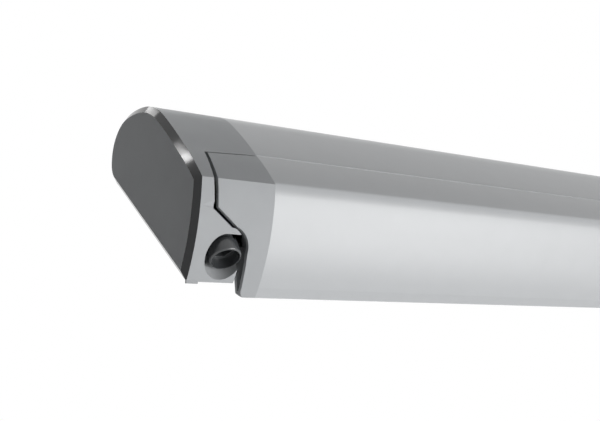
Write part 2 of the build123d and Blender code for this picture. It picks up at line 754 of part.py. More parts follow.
def leg_inner():
    """Inner square tube that slides out of the leg."""
    size = (LEG_SIZE[0] - 2 * LEG_WALL - 0.6, LEG_SIZE[1] - 2 * LEG_WALL - 0.6)
    flat = Rectangle(*size) - Rectangle(size[0] - 2.8, size[1] - 2.8)
    end = -LEG_PIVOT_X + 10 + LEG_LENGTH + 14
    return prism(Pos(LEG_BACK, LEG_UP) * flat, end - LEG_INNER_LENGTH, end)


def leg_collar():
    """Moulded clamp collar on the mouth of the outer tube."""
    end = -LEG_PIVOT_X + 10 + LEG_LENGTH
    outer = RectangleRounded(LEG_SIZE[0] + 0.8, LEG_SIZE[1] + 0.6, 2.4)
    inner = Rectangle(LEG_SIZE[0] - 2 * LEG_WALL - 0.2, LEG_SIZE[1] - 2 * LEG_WALL - 0.2)
    collar = prism(Pos(LEG_BACK, LEG_UP) * (outer - inner), end, end + 9)
    return collar


def lock_lever():
    """Cam lever that clamps the inner tube, folded flat under the leg."""
    end = -LEG_PIVOT_X + 10 + LEG_LENGTH
    low = LEG_UP - LEG_SIZE[1] / 2 - 0.3
    hub = Pos(end + 4.5, LEG_BACK, low - 2.6) * Rot(90, 0, 0) * Cylinder(2.4, 9)
    blade = box_between((end - 30, LEG_BACK - 4.5, low - 3.4), (end + 4.5, LEG_BACK + 4.5, low - 1.0))
    return hub + blade


def foot_fork():
    """Moulded plug at the end of the inner tube, with the hole for the foot's pin."""
    end = -LEG_PIVOT_X + 10 + LEG_LENGTH + 14
    inner = (LEG_SIZE[0] - 6.2, LEG_SIZE[1] - 6.2)
    plug = box_between((end - 20, LEG_BACK - inner[0] / 2, LEG_UP - inner[1] / 2),
                       (end, LEG_BACK + inner[0] / 2, LEG_UP + inner[1] / 2))
    tongue = box_between((end, LEG_BACK - 3, LEG_UP - 6), (end + 10, LEG_BACK + 3, LEG_UP + 6))
    tongue += Pos(end + 10, LEG_BACK, LEG_UP) * Rot(90, 0, 0) * Cylinder(6, 6)
    pin = Pos(end + 10, LEG_BACK, LEG_UP) * Rot(90, 0, 0) * Cylinder(2.5, 15.4)
    return plug + tongue + pin


def foot():
    """Foot plate with two ears and a hole for a ground peg."""
    x = -LEG_PIVOT_X + 10 + LEG_LENGTH + 24
    ears = [box_between((x - 6, LEG_BACK + y - 1.9, LEG_UP - 6), (x + 9, LEG_BACK + y + 1.9, LEG_UP + 6))
            for y in (-5.4, 5.4)]
    plate = box_between((x + 8.2, LEG_BACK - 8.6, LEG_UP - 20), (x + 12.2, LEG_BACK + 8.6, LEG_UP + 8.2))
    plate = chamfer(plate.edges().filter_by(Axis.X), 3.0)
    plate -= Pos(x + 10, LEG_BACK, LEG_UP - 14) * Rot(0, 90, 0) * Cylinder(PEG_R, 10)
    shoe = ears[0] + ears[1] + plate
    return shoe - Pos(x, LEG_BACK, LEG_UP) * Rot(90, 0, 0) * Cylinder(2.56, 40)


def rail_seal():
    """Rubber lip on top of the lead rail that closes against the hood."""
    return prism(rect(RAIL_TOP[0] + 0.3, 21.3, RAIL_REAR - 0.5, 21.9), -PROFILE_END, PROFILE_END)


def save(name, shape):
    """Write one node, moved so that the origin is the roof seat."""
    solids = shape if isinstance(shape, list) else shape.solids()
    moved = [Pos(0, -SEAT_BACK, -SEAT_UP) * solid for solid in solids]
    whole = moved[0] if len(moved) == 1 else Compound(children=moved)
    export_step(whole, os.path.join("parts", name + ".step"))


def pairs():
    """Pieces that the awning has at both ends, drawn at the left."""
    return {
        "shoulder_bracket": [shoulder_bracket(), pivot_pin(-SHOULDER_X, PIVOT_STEP, 25.0)],
        "upper_arm": upper_arm(),
        "shoulder_casting": shoulder_casting(),
        "elbow_fork": elbow_fork(),
        "arm_spring": arm_spring(),
        "forearm": forearm(),
        "elbow_tongue": elbow_tongue(),
        "wrist_casting": wrist_casting(),
        "elbow_pin": pivot_pin(-ELBOW_X, 0, 25.0),
        "rail_bracket": [rail_bracket(), pivot_pin(-SHOULDER_X, -PIVOT_STEP, 25.0)],
        "rail_cap": rail_cap(),
        "leg_mount": leg_mount(),
        "leg_tube": leg_tube() + leg_head(),
        "leg_collar": leg_collar(),
        "leg_inner": leg_inner() + foot_fork(),
        "lock_lever": lock_lever(),
        "foot": foot(),
    }


def singles():
    """Pieces that the awning has once, or in one group."""
    return {
        "cassette_housing": cassette_housing(),
        "base_front": base_front(),
        "base_middle": base_middle(),
        "base_rear": base_rear(),
        "slot_covers": slot_covers(),
        "roof_seal": roof_seal(),
        "end_cap_left": end_cap_left(),
        "end_cap_right": end_cap_right(),
        "gearbox_housing": gearbox_housing(),
        "roller_bearing": roller_bearing(),
        "cap_screws": cap_screws(),
        "roller_tube": roller_tube(),
        "fabric_roll": fabric_roll(),
        "roller_plugs": [mirrored(roller_plug(LEFT_JOURNAL)), roller_plug(RIGHT_JOURNAL)],
        "worm_wheel": worm_wheel(),
        "crank_worm": crank_worm(),
        "crank_cup": crank_cup(),
        "lead_rail": lead_rail(),
        "rail_seal": rail_seal(),
        "keder_rod": keder_rod(),
        "canopy_sheet": canopy_sheet(),
    }


os.makedirs("parts", exist_ok=True)
for node, piece in (singles() | slot_nuts()).items():
    save(node, piece)
for node, piece in pairs().items():
    save(node + "_left", piece)
    save(node + "_right", mirrored(piece))
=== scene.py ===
"""Looks of a roof-mounted cassette awning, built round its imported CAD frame."""

import json
from math import atan2, cos, pi, radians, sin

import bmesh
import bpy
from mathutils import Matrix, Vector
from mathutils.geometry import intersect_point_line


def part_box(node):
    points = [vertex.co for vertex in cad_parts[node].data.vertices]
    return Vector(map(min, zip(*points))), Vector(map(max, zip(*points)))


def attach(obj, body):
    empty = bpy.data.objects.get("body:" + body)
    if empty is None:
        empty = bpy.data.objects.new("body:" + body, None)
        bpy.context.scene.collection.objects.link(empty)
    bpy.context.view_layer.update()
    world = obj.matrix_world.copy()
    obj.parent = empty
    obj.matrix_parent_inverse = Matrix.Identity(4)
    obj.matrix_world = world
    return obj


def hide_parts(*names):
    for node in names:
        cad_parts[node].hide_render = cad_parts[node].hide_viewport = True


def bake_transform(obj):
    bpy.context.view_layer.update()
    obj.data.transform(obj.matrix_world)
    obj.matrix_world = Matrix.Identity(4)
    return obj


bl_info = {
    "name": "Cassette awning",
    "version": (1, 0, 0),
    "blender": (4, 5, 0),
    "location": "View3D > Sidebar > Awning",
    "description": "Models and finishes the pieces of a folding-arm cassette awning",
    "category": "Object",
}

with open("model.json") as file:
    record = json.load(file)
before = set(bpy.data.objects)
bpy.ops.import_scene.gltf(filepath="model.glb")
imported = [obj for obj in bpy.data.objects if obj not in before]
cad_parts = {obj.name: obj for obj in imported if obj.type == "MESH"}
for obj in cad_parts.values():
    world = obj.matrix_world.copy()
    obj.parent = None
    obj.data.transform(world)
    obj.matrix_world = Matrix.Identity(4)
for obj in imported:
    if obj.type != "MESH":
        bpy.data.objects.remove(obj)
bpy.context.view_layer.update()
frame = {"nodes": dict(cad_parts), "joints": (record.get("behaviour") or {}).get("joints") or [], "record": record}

MM = 0.001
SIDES = ("left", "right")

# Places of the roll and of the free strip of cloth, from the frame
ROLL_LOW, ROLL_HIGH = (Vector(corner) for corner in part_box("fabric_roll"))
STRIP_LOW, STRIP_HIGH = (Vector(corner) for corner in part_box("canopy_sheet"))
ROLL_CENTRE = (ROLL_LOW + ROLL_HIGH) / 2
ROLL_RADIUS = (ROLL_HIGH.z - ROLL_LOW.z) / 2
TUBE_RADIUS = 20 * MM

# Middle of the roof seat in the section, whose own origin is the crease of the lead rail
SEAT = Vector((93.0, -16.7316)) * MM

# Copies of CAD nodes: vertices this close are joined, and faces this flat become one
JOIN_REACH = 0.03 * MM
FLAT_ANGLE = radians(0.3)

# Long profiles: cuts in each arc, and how far a coarse facet may lie inside the true round
ARC_STEPS = 10
ARC_SAG = 0.7 * MM

# End caps: where the bevel of the outer face starts and how its faces lean, which picks the bevel faces whose dark
# colour is a painted reflection, and the toe tab
BEVEL_START = 1296.4 * MM
BEVEL_LEAN = (0.5, 0.97)
TOE_TAB_TOP, TOE_TAB_REAR, TOE_TAB_TRIMMED = -46.5 * MM, -69.0 * MM, -72.0 * MM
TOE_TAB_REACH = 0.02 * MM

# Rounding of the crank cup's rims
CUP_ROUND = 0.7 * MM

# Rolled edge: sharpest angle left alone, and how near an edge lies to the front and to the path
SHARP_ANGLE = radians(30)
FRONT_REACH = 0.3 * MM
PATH_REACH = 0.6 * MM
PATH_OVERRUN = 0.05


def at(back, up):
    """Point of the section, drawn in millimetres from the crease of the lead rail, in the part frame."""
    return Vector((back, up)) * MM - SEAT


# Arcs of the section: the lead rail's front and top slope, and the hood
RAIL_ARCS = ((at(0, 0), at(7.5, -38.8), at(25.9, -73.7)), (at(0, 0), at(12.2, 12.4), at(25.0, 23.5)))
HOOD_START, HOOD_LEAN = (26.2, 24.7), radians(42.0)
HOOD_ENDS = ((62.0, 53.4), (92.0, 65.6), (120.0, 66.4), (142.0, 56.6), (152.0, 31.0), (141.5, 15.3))

# Diagonal of the left cap's parting line, as points (along, up) of the cap's front
EDGE_ORIGIN = -1296.5 * MM
ROLLED_EDGE = [Vector((EDGE_ORIGIN + x * MM, at(0, up).y)) for x, up in ((10.1, -19.0), (25.6, -30.2))]

# Cap screws: place along the awning and up the underside, and the underside's slope
SCREW_ALONG = 1230.5 * MM
SCREW_UP = (-19.0 * MM, 22.0 * MM)
UNDER_SLOPE = radians(33.45)

# Pan head: radius and height of each ring from the seat to the crown, then its cross recess
RING_ANGLES = [2 * pi * i / 32 for i in range(32)]
HEAD_RINGS = ((3.7, 0.0), (3.7, 0.9), (3.5, 1.4), (3.0, 1.9), (2.2, 2.25), (1.2, 2.4))
RECESS_BAR = (3.6 * MM, 0.8 * MM, 2.0 * MM)
RECESS_HEIGHT = 2.0 * MM

# Colour of zinc plating
ZINC = "#B9BABB"

# Cloth: cells of the free strip, and half the width of a sewn lap
CLOTH_COLUMNS, CLOTH_ROWS = 60, 48
SEAM_HALF = 6 * MM

# Roll: cells along it and round each turn, then its gaps to the tube, to its own outline and at the ends
ROLL_COLUMNS = 8
CUTS_PER_TURN = 48
ROLL_TUBE_GAP = 0.4 * MM
ROLL_SKIN = 0.2 * MM
ROLL_END_GAP = 0.6 * MM

# The wound edges waver: how far, how often, and how fast that dies away from the ends
ROLL_WAVER = 0.5 * MM
WAVES_PER_RADIAN = 1.7
WAVER_FALL = 6

# Length of cloth that the roll's weave is laid out over, and the share of the thickness that is drawn
ROLL_CLOTH_SHOWN = 2.0
WOUND_SHARE = 0.8

# Stage: floor, lamps and camera, with directions and places in the part frame
FLOOR_SIZE = 30
FLOOR_GLOW = 0.88
ROOM_LIGHT = 0.05
LAMP_DISTANCE = 6.0
KEY_TOWARD, KEY_STRENGTH, KEY_SPREAD = (0.55, -0.79, -0.27), 3.6, 42
REAR_TOWARD, REAR_STRENGTH, REAR_SPREAD = (0.1, 0.68, 0.72), 3.2, 8

# The two glints on the bevel: lamp, target, length and power, then width and run of both
CREST_GLINT = ((-1.385, 0.27, 0.336), (-1.299, -0.021, 0.0725), 150 * MM, 0.019)
SLOPE_GLINT = ((-1.51, 0.09, 0.3175), (-1.298, -0.0745, 0.0315), 34 * MM, 0.026)
GLINT_WIDTH = 12 * MM
GLINT_RUN = Vector((-0.76, -0.59, 0.32))

CAMERA_PLACE = (-1.5395, -0.5749, -0.0836)
CAMERA_RIGHT = Vector((0.83607, -0.54862, 0))
CAMERA_FORWARD = Vector((0.54282, 0.82724, 0.14500))
CAMERA_LENS = 52.2
CAMERA_SENSOR = 36
CAMERA_CLIP = 0.01


def hood_arcs():
    """The hood's arcs, each running on from the last, as three points each."""
    arcs = []
    start, tangent = Vector(HOOD_START), Vector((cos(HOOD_LEAN), sin(HOOD_LEAN)))
    for end in (Vector(point) for point in HOOD_ENDS):
        chord = end - start
        turn = tangent.angle_signed(chord)
        side = tangent.copy()
        side.rotate(Matrix.Rotation(-turn / 2, 2))
        middle = start + side.normalized() * chord.length / (2 * cos(turn / 2))
        arcs.append((at(*start), at(*middle), at(*end)))
        tangent.rotate(Matrix.Rotation(-2 * turn, 2))
        start = end
    return arcs


def linear(code):
    """Linear RGBA of an sRGB hex colour such as #8A8D90."""
    channels = [int(code[i:i + 2], 16) / 255 for i in (1, 3, 5)]
    curve = [c / 12.92 if c <= 0.04045 else ((c + 0.055) / 1.055) ** 2.4 for c in channels]
    return (*curve, 1.0)


def colour(name, description, code):
    """Colour property with an sRGB hex default."""
    return bpy.props.FloatVectorProperty(
        name=name, description=description, subtype="COLOR", size=4, min=0, max=1, default=linear(code))


def length(name, description, metres):
    """Length property in metres."""
    return bpy.props.FloatProperty(
        name=name, description=description, subtype="DISTANCE", unit="LENGTH", default=metres, min=0)


class AwningColours(bpy.types.PropertyGroup):
    """Colours of the awning's finishes."""
    profile: colour("Profiles", "Powder coat of the hood and the lead rail", "#A4A6A8")
    cap: colour("End caps", "Moulded plastic of the end caps", "#9C9EA0")
    # The bevel's dark colour is a painted reflection of dark surroundings that the glossy chamfer would mirror;
    # its gloss is real.
    edge: colour("Darkened edge", "Darkened bevel round the end caps", "#2A2C2E")
    cup: colour("Crank cup", "Dark moulding of the crank cup", "#3E4042")
    fitting: colour("Leg fittings", "Moulded feet, collars and levers", "#3A3C3E")
    bearing: colour("Bearings", "Natural acetal of plugs and bearing", "#D9D6CE")
    canvas: colour("Canvas", "Coated awning cloth", "#9A9FA3")
    thread: colour("Thread", "Sewing thread of seams and hems", "#C9CBCC")
    arm: colour("Arms", "Powder coat of the folding arms", "#C6C8C9")
    casting: colour("Castings", "Blasted aluminium castings", "#A9ABAC")


class AwningSizes(bpy.types.PropertyGroup):
    """Sizes of the modelled details."""
    cloth: length("Cloth thickness", "Thickness of the awning cloth", 0.5 * MM)
    panel: length("Panel width", "Width of one sewn panel of the cloth", 1.2)
    edge_round: length("Edge rounding", "Rounding of the moulded edges", 0.35 * MM)
    edge_roll: length("Edge roll", "Soft roll of the left cap along the parting line", 2.0 * MM)
    floor_depth: length("Floor depth", "Depth of the floor under the roof seat", 2.69)


# Small helpers


def settings():
    """The scene's two property groups."""
    return bpy.context.scene.awning_colours, bpy.context.scene.awning_sizes


def deselect():
    """Clears the selection, so that an operator touches only what comes next."""
    bpy.ops.object.select_all(action="DESELECT")


def pick(piece):
    """Makes one piece the only selected and active one."""
    deselect()
    piece.hide_set(False)
    piece.select_set(True)
    bpy.context.view_layer.objects.active = piece


def settle(piece):
    """Puts a finished piece's place into its mesh."""
    pick(piece)
    bpy.ops.object.transform_apply(location=True, rotation=True, scale=True)


def finish_modifiers(piece):
    """Applies every modifier of a piece, in order."""
    pick(piece)
    for modifier in list(piece.modifiers):
        bpy.ops.object.modifier_apply(modifier=modifier.name)


def give(piece, material):
    """Gives a piece one material."""
    piece.data.materials.clear()
    piece.data.materials.append(material)


def merged_copy(node):
    """Copy of a CAD node with its loose triangles joined and its flat faces made whole."""
    pick(frame["nodes"][node])
    bpy.ops.object.duplicate()
    piece = bpy.context.active_object
    piece.name = node + "_skin"
    bpy.ops.object.mode_set(mode="EDIT")
    bpy.ops.mesh.select_all(action="SELECT")
    bpy.ops.mesh.remove_doubles(threshold=JOIN_REACH)
    bpy.ops.mesh.dissolve_limited(angle_limit=FLAT_ANGLE)
    bpy.ops.object.mode_set(mode="OBJECT")
    return piece


def round_edges(piece, width, angle=30.0):
    """Rounds every edge of a piece that is sharper than an angle."""
    bevel = piece.modifiers.new("rounding", "BEVEL")
    bevel.width = width
    bevel.segments = 2
    bevel.limit_method = "ANGLE"
    bevel.angle_limit = radians(angle)
    finish_modifiers(piece)


def shade(piece, angle=30.0):
    """Smooth shading up to an angle, led by the large faces."""
    pick(piece)
    bpy.ops.object.shade_smooth_by_angle(angle=radians(angle))
    weighted = piece.modifiers.new("weighted", "WEIGHTED_NORMAL")
    weighted.keep_sharp = True
    finish_modifiers(piece)


def circle_through(a, b, c):
    """Centre and radius of the circle through three points of a section."""
    ax, ay, bx, by, cx, cy = *a, *b, *c
    d = 2 * (ax * (by - cy) + bx * (cy - ay) + cx * (ay - by))
    aa, bb, cc = ax * ax + ay * ay, bx * bx + by * by, cx * cx + cy * cy
    x = (aa * (by - cy) + bb * (cy - ay) + cc * (ay - by)) / d
    y = (aa * (cx - bx) + bb * (ax - cx) + cc * (bx - ax)) / d
    return Vector((x, y)), (Vector(a) - Vector((x, y))).length


def round_out(piece, arc):
    """Cuts a profile's coarse arc along its length and moves the cuts out to the true round."""
    centre, radius = circle_through(*arc)
    first, last = (Vector(end) - centre for end in (arc[0], arc[2]))
    start, sweep = atan2(first.y, first.x), first.angle_signed(last)
    pick(piece)
    bpy.ops.object.mode_set(mode="EDIT")
    for step in range(1, ARC_STEPS):
        angle = start - sweep * step / ARC_STEPS
        bpy.ops.mesh.select_all(action="SELECT")
        bpy.ops.mesh.bisect(plane_co=(0, centre.x, centre.y), plane_no=(0, -sin(angle), cos(angle)))
    bpy.ops.object.mode_set(mode="OBJECT")
    low, high = sorted((0.0, -sweep))
    for vertex in piece.data.vertices:
        spoke = Vector((vertex.co.y, vertex.co.z)) - centre
        turned = -first.angle_signed(spoke) if spoke.length else 0.0
        if low < turned < high and -ARC_SAG < spoke.length - radius < 0:
            place = centre + spoke.normalized() * radius
            vertex.co.y, vertex.co.z = place


def near_path(place, path, reach):
    """True if a point of the front lies close to a path drawn on it."""
    flat = Vector((place.x, place.z))
    for start, end in zip(path, path[1:]):
        nearest, share = intersect_point_line(flat, start, end)
        if -PATH_OVERRUN < share < 1 + PATH_OVERRUN and (flat - nearest).length < reach:
            return True
    return False


def roll_edge(piece, path, width):
    """Rolls over the sharp edge of a cap's front that follows a path."""
    centre, radius = circle_through(*RAIL_ARCS[0])
    mesh = bmesh.new()
    mesh.from_mesh(piece.data)
    chosen = []
    for edge in mesh.edges:
        sharp = len(edge.link_faces) == 2 and edge.calc_face_angle() > SHARP_ANGLE
        if sharp and all(abs((Vector(v.co.yz) - centre).length - radius) < FRONT_REACH
                         and near_path(v.co, path, PATH_REACH) for v in edge.verts):
            chosen.append(edge)
    bmesh.ops.bevel(
        mesh, geom=chosen, offset=width, segments=6, profile=0.5, affect="EDGES", clamp_overlap=False)
    mesh.to_mesh(piece.data)
    mesh.free()


def trim_toe(piece):
    """Thins the toe tab from behind."""
    for vertex in piece.data.vertices:
        if vertex.co.z < TOE_TAB_TOP and abs(vertex.co.y - TOE_TAB_REAR) < TOE_TAB_REACH:
            vertex.co.y = TOE_TAB_TRIMMED


# Materials


def new_material(name, **values):
    """Node material with its shader. values are the shader's inputs by socket name."""
    material = bpy.data.materials.new(name)
    material.use_nodes = True
    tree = material.node_tree
    shader = tree.nodes["Principled BSDF"]
    for key, value in values.items():
        shader.inputs[key.replace("_", " ")].default_value = value
    return material, tree, shader


def add_node(tree, kind, links=None, **values):
    """Adds a node. values are its properties or, by socket name, its inputs; links feed its inputs."""
    node = tree.nodes.new(kind)
    for key, value in values.items():
        if hasattr(node, key):
            setattr(node, key, value)
        else:
            node.inputs[key.replace("_", " ")].default_value = value
    for key, source in (links or {}).items():
        tree.links.new(source, node.inputs[key])
    return node


def grain(tree, shader, coordinates, scale, depth, detail=3.0):
    """Fine surface grain as bump."""
    noise = add_node(tree, "ShaderNodeTexNoise", {"Vector": coordinates}, Scale=scale, Detail=detail)
    bump = add_node(tree, "ShaderNodeBump", {"Height": noise.outputs["Fac"]}, Strength=0.35, Distance=depth)
    tree.links.new(bump.outputs["Normal"], shader.inputs["Normal"])


def mottled(tree, shader, coordinates, tone, spread, scale):
    """Base colour that wanders a little round one tone."""
    noise = add_node(tree, "ShaderNodeTexNoise", {"Vector": coordinates}, Scale=scale, Detail=4.0)
    ramp = add_node(tree, "ShaderNodeMapRange", {"Value": noise.outputs["Fac"]},
                    From_Min=0.3, From_Max=0.7, To_Min=1 - spread, To_Max=1 + spread)
    scaled = add_node(tree, "ShaderNodeVectorMath", {"Scale": ramp.outputs["Result"]}, operation="SCALE")
    scaled.inputs[0].default_value = tone[:3]
    tree.links.new(scaled.outputs["Vector"], shader.inputs["Base Color"])


def object_coordinates(tree):
    """Output of the piece's own coordinates, in metres."""
    return add_node(tree, "ShaderNodeTexCoord").outputs["Object"]


def powder_coat(name, tone):
    """Powder-coated aluminium: satin polyester film with a faint orange peel."""
    material, tree, shader = new_material(name, Roughness=0.36, Specular_IOR_Level=0.6)
    coordinates = object_coordinates(tree)
    mottled(tree, shader, coordinates, tone, spread=0.012, scale=60.0)
    grain(tree, shader, coordinates, scale=700.0, depth=0.05 * MM)
    return material


def moulded_plastic(name, tone, roughness=0.5, gloss=0.1):
    """Moulded plastic, such as ABS, nylon or acetal, with a spark-eroded grain."""
    material, tree, shader = new_material(name, Roughness=roughness, Specular_IOR_Level=gloss)
    coordinates = object_coordinates(tree)
    mottled(tree, shader, coordinates, tone, spread=0.02, scale=45.0)
    grain(tree, shader, coordinates, scale=1400.0, depth=0.08 * MM)
    return material


def gloss_plastic_painted_dark(name, tone):
    """Glossy moulded ABS with the faintest ripple; on the cap bevel its dark tone is a painted dark reflection,
    while the gloss is real.
    """
    material, tree, shader = new_material(name, Roughness=0.1, Specular_IOR_Level=0.35)
    coordinates = object_coordinates(tree)
    mottled(tree, shader, coordinates, tone, spread=0.02, scale=45.0)
    grain(tree, shader, coordinates, scale=160.0, depth=0.01 * MM)
    return material


def drawn_metal(name, tone, roughness):
    """Bare metal, such as anodised aluminium, plated steel or brass, with faint lines along the awning."""
    material, tree, shader = new_material(name, Roughness=roughness, Metallic=1.0)
    coordinates = object_coordinates(tree)
    stretched = add_node(tree, "ShaderNodeMapping", {"Vector": coordinates}, Scale=(4.0, 900.0, 900.0))
    mottled(tree, shader, coordinates, tone, spread=0.03, scale=30.0)
    grain(tree, shader, stretched.outputs["Vector"], scale=1.0, depth=0.008 * MM, detail=2.0)
    return material


def cast_metal(name, tone):
    """Blasted aluminium or zinc casting: dull metal with a coarse sandy skin."""
    material, tree, shader = new_material(name, Roughness=0.5, Metallic=0.85)
    coordinates = object_coordinates(tree)
    mottled(tree, shader, coordinates, tone, spread=0.06, scale=80.0)
    grain(tree, shader, coordinates, scale=900.0, depth=0.15 * MM)
    return material


def rubber(name, tone):
    """EPDM rubber or closed-cell foam with a dusty bloom."""
    material, tree, shader = new_material(name, Roughness=0.75)
    coordinates = object_coordinates(tree)
    mottled(tree, shader, coordinates, tone, spread=0.15, scale=200.0)
    grain(tree, shader, coordinates, scale=1500.0, depth=0.1 * MM)
    return material


def canvas(name, tone, thread):
    """PVC-coated polyester cloth: fine weave and sewn panel seams."""
    material, tree, shader = new_material(name, Roughness=0.7, Sheen_Weight=0.1)
    uv = add_node(tree, "ShaderNodeUVMap", uv_map="cloth").outputs["UV"]
    split = add_node(tree, "ShaderNodeSeparateXYZ", {"Vector": uv})
    # Threads are drawn 4 mm apart, wider than on real cloth, so that they show
    warp = add_node(tree, "ShaderNodeTexWave", {"Vector": uv}, bands_direction="X", Scale=80.0)
    weft = add_node(tree, "ShaderNodeTexWave", {"Vector": uv}, bands_direction="Y", Scale=80.0)
    weave = add_node(
        tree, "ShaderNodeMath", {0: warp.outputs["Fac"], 1: weft.outputs["Fac"]}, operation="MULTIPLY")
    # Seams: a lap of 12 mm where two panels are sewn together
    across = add_node(tree, "ShaderNodeMath", {0: split.outputs["X"]}, operation="PINGPONG")
    across.inputs[1].default_value = settings()[1].panel / 2
    seam = add_node(tree, "ShaderNodeMath", {0: across.outputs["Value"]}, operation="LESS_THAN")
    seam.inputs[1].default_value = SEAM_HALF
    blend = add_node(tree, "ShaderNodeMix", {"Factor": seam.outputs["Value"]}, data_type="RGBA")
    # Sockets 6 and 7 of the mix are its two colours, and output 2 is the mixed one
    blend.inputs[6].default_value = tone
    blend.inputs[7].default_value = thread
    tree.links.new(blend.outputs[2], shader.inputs["Base Color"])
    bump = add_node(
        tree, "ShaderNodeBump", {"Height": weave.outputs["Value"]}, Strength=0.3, Distance=0.3 * MM)
    tree.links.new(bump.outputs["Normal"], shader.inputs["Normal"])
    return material


# Pieces


class AWNING_OT_caps(bpy.types.Operator):
    """Skins of the moulded end caps and the lead rail's caps, with rounded edges and a glossy bevel whose dark
    colour is a painted reflection.
    """
    bl_idname = "awning.caps"
    bl_label = "End caps"

    def execute(self, context):
        colours, sizes = settings()
        material = moulded_plastic("abs_moulded_cap", colours.cap)
        # The bevel material's dark colour is a painted reflection; its gloss is real.
        bevel_gloss_painted_dark = gloss_plastic_painted_dark("abs_bevel_painted_dark_reflection", colours.edge)
        for side in SIDES:
            for node, body in (("end_cap_" + side, "cassette"), ("rail_cap_" + side, "front")):
                piece = merged_copy(node)
                trim_toe(piece)
                if node == "end_cap_left":
                    roll_edge(piece, ROLLED_EDGE, sizes.edge_roll)
                round_edges(piece, sizes.edge_round)
                shade(piece, angle=16.0)
                give(piece, material)
                paint_bevel_dark_reflection(piece, bevel_gloss_painted_dark)
                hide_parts(node)
                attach(piece, body)
        return {"FINISHED"}


def paint_bevel_dark_reflection(piece, material):
    """Gives the bevel round a cap's outer face a glossy material of its own, whose dark colour is a painted
    reflection.
    """
    piece.data.materials.append(material)
    for face in piece.data.polygons:
        if abs(face.center.x) > BEVEL_START and BEVEL_LEAN[0] < abs(face.normal.x) < BEVEL_LEAN[1]:
            face.material_index = 1


class AWNING_OT_profiles(bpy.types.Operator):
    """Skins of the coated hood and lead rail profiles."""
    bl_idname = "awning.profiles"
    bl_label = "Profiles"

    def execute(self, context):
        material = powder_coat("powder_coated_profile", settings()[0].profile)
        profiles = (("cassette_housing", "cassette", hood_arcs()), ("lead_rail", "front", RAIL_ARCS))
        for node, body, arcs in profiles:
            piece = merged_copy(node)
            for arc in arcs:
                round_out(piece, arc)
            shade(piece, angle=25.0)
            give(piece, material)
            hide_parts(node)
            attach(piece, body)
        return {"FINISHED"}


class AWNING_OT_cup(bpy.types.Operator):
    """Skin of the crank cup."""
    bl_idname = "awning.cup"
    bl_label = "Crank cup"

    def execute(self, context):
        piece = merged_copy("crank_cup")
        round_edges(piece, CUP_ROUND, angle=40.0)
        shade(piece)
        give(piece, moulded_plastic("nylon_cup", settings()[0].cup, roughness=0.22, gloss=0.7))
        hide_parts("crank_cup")
        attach(piece, "crank")
        return {"FINISHED"}


class AWNING_OT_screws(bpy.types.Operator):
    """Pan heads with a cross recess, on the cap screws in the underside just inside the caps."""
    bl_idname = "awning.screws"
    bl_label = "Screw heads"

    def execute(self, context):
        material = drawn_metal("zinc_plated_screw", linear(ZINC), 0.3)
        for side, sign in (("left", -1), ("right", 1)):
            heads = [screw_head(Vector((sign * SCREW_ALONG, cos(UNDER_SLOPE) * up, sin(UNDER_SLOPE) * up)))
                     for up in SCREW_UP]
            deselect()
            for head in heads:
                head.select_set(True)
            context.view_layer.objects.active = heads[0]
            bpy.ops.object.join()
            piece = context.active_object
            piece.name = "screw_heads_" + side
            settle(piece)
            shade(piece)
            give(piece, material)
            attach(piece, "cassette")
        return {"FINISHED"}


def screw_head(place):
    """One pan head, its crown facing down from the sloping underside."""
    mesh = bmesh.new()
    loops = [[mesh.verts.new((r * cos(a) * MM, r * sin(a) * MM, h * MM)) for a in RING_ANGLES]
             for r, h in HEAD_RINGS]
    for low, high in zip(loops, loops[1:]):
        for i, vertex in enumerate(low):
            following = (i + 1) % len(low)
            mesh.faces.new((vertex, low[following], high[following], high[i]))
    mesh.faces.new(loops[-1])
    mesh.faces.new(reversed(loops[0]))
    data = bpy.data.meshes.new("screw_head")
    mesh.to_mesh(data)
    mesh.free()
    head = bpy.data.objects.new("screw_head", data)
    bpy.context.collection.objects.link(head)
    for quarter in (0, pi / 2):
        cut_recess(head, quarter)
    crown = Vector((0, sin(UNDER_SLOPE), -cos(UNDER_SLOPE)))
    head.rotation_euler = crown.to_track_quat("Z", "Y").to_euler()
    head.location = place
    return head


def cut_recess(head, turn):
    """Cuts one bar of the cross recess into a head."""
    deselect()
    bpy.ops.mesh.primitive_cube_add(size=1, location=(0, 0, RECESS_HEIGHT), rotation=(0, 0, turn))
    bar = bpy.context.active_object
    bar.scale = RECESS_BAR
    slot = head.modifiers.new("recess", "BOOLEAN")
    slot.operation = "DIFFERENCE"
    slot.object = bar
    finish_modifiers(head)
    bpy.data.objects.remove(bar)


class AWNING_OT_canopy(bpy.types.Operator):
    """Free stretch of cloth between roll and rail, with its weave laid out over the cloth's full travel."""
    bl_idname = "awning.canopy"
    bl_label = "Canopy"

    def execute(self, context):
        colours = settings()[0]
        rear = Vector((0, STRIP_HIGH.y, STRIP_HIGH.z))
        front = Vector((0, STRIP_LOW.y, STRIP_LOW.z))
        half = STRIP_HIGH.x
        travel = next(j["range_m"][1] for j in frame["joints"] if j["name"] == "canopy_feed")
        deselect()
        bpy.ops.mesh.primitive_grid_add(x_subdivisions=CLOTH_COLUMNS, y_subdivisions=CLOTH_ROWS, size=1)
        piece = bpy.context.active_object
        piece.name = "canopy_cloth"
        uv = piece.data.uv_layers.active
        uv.name = "cloth"
        places = {}
        for vertex in piece.data.vertices:
            share = vertex.co.y + 0.5
            even = ease_inverse(share)
            along = front * even + rear * (1 - even)
            vertex.co = Vector((vertex.co.x * 2 * half, along.y, along.z))
            places[vertex.index] = (vertex.co.x, share * travel)
        for loop in piece.data.loops:
            uv.data[loop.index].uv = places[loop.vertex_index]
        give(piece, canvas("coated_canvas", colours.canvas, colours.thread))
        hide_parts("canopy_sheet")
        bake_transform(piece)
        return {"FINISHED"}


def ease_inverse(share):
    """Place whose smoothstep is share, by bisection."""
    low, high = 0.0, 1.0
    for _ in range(40):
        middle = (low + high) / 2
        if middle * middle * (3 - 2 * middle) < share:
            low = middle
        else:
            high = middle
    return (low + high) / 2


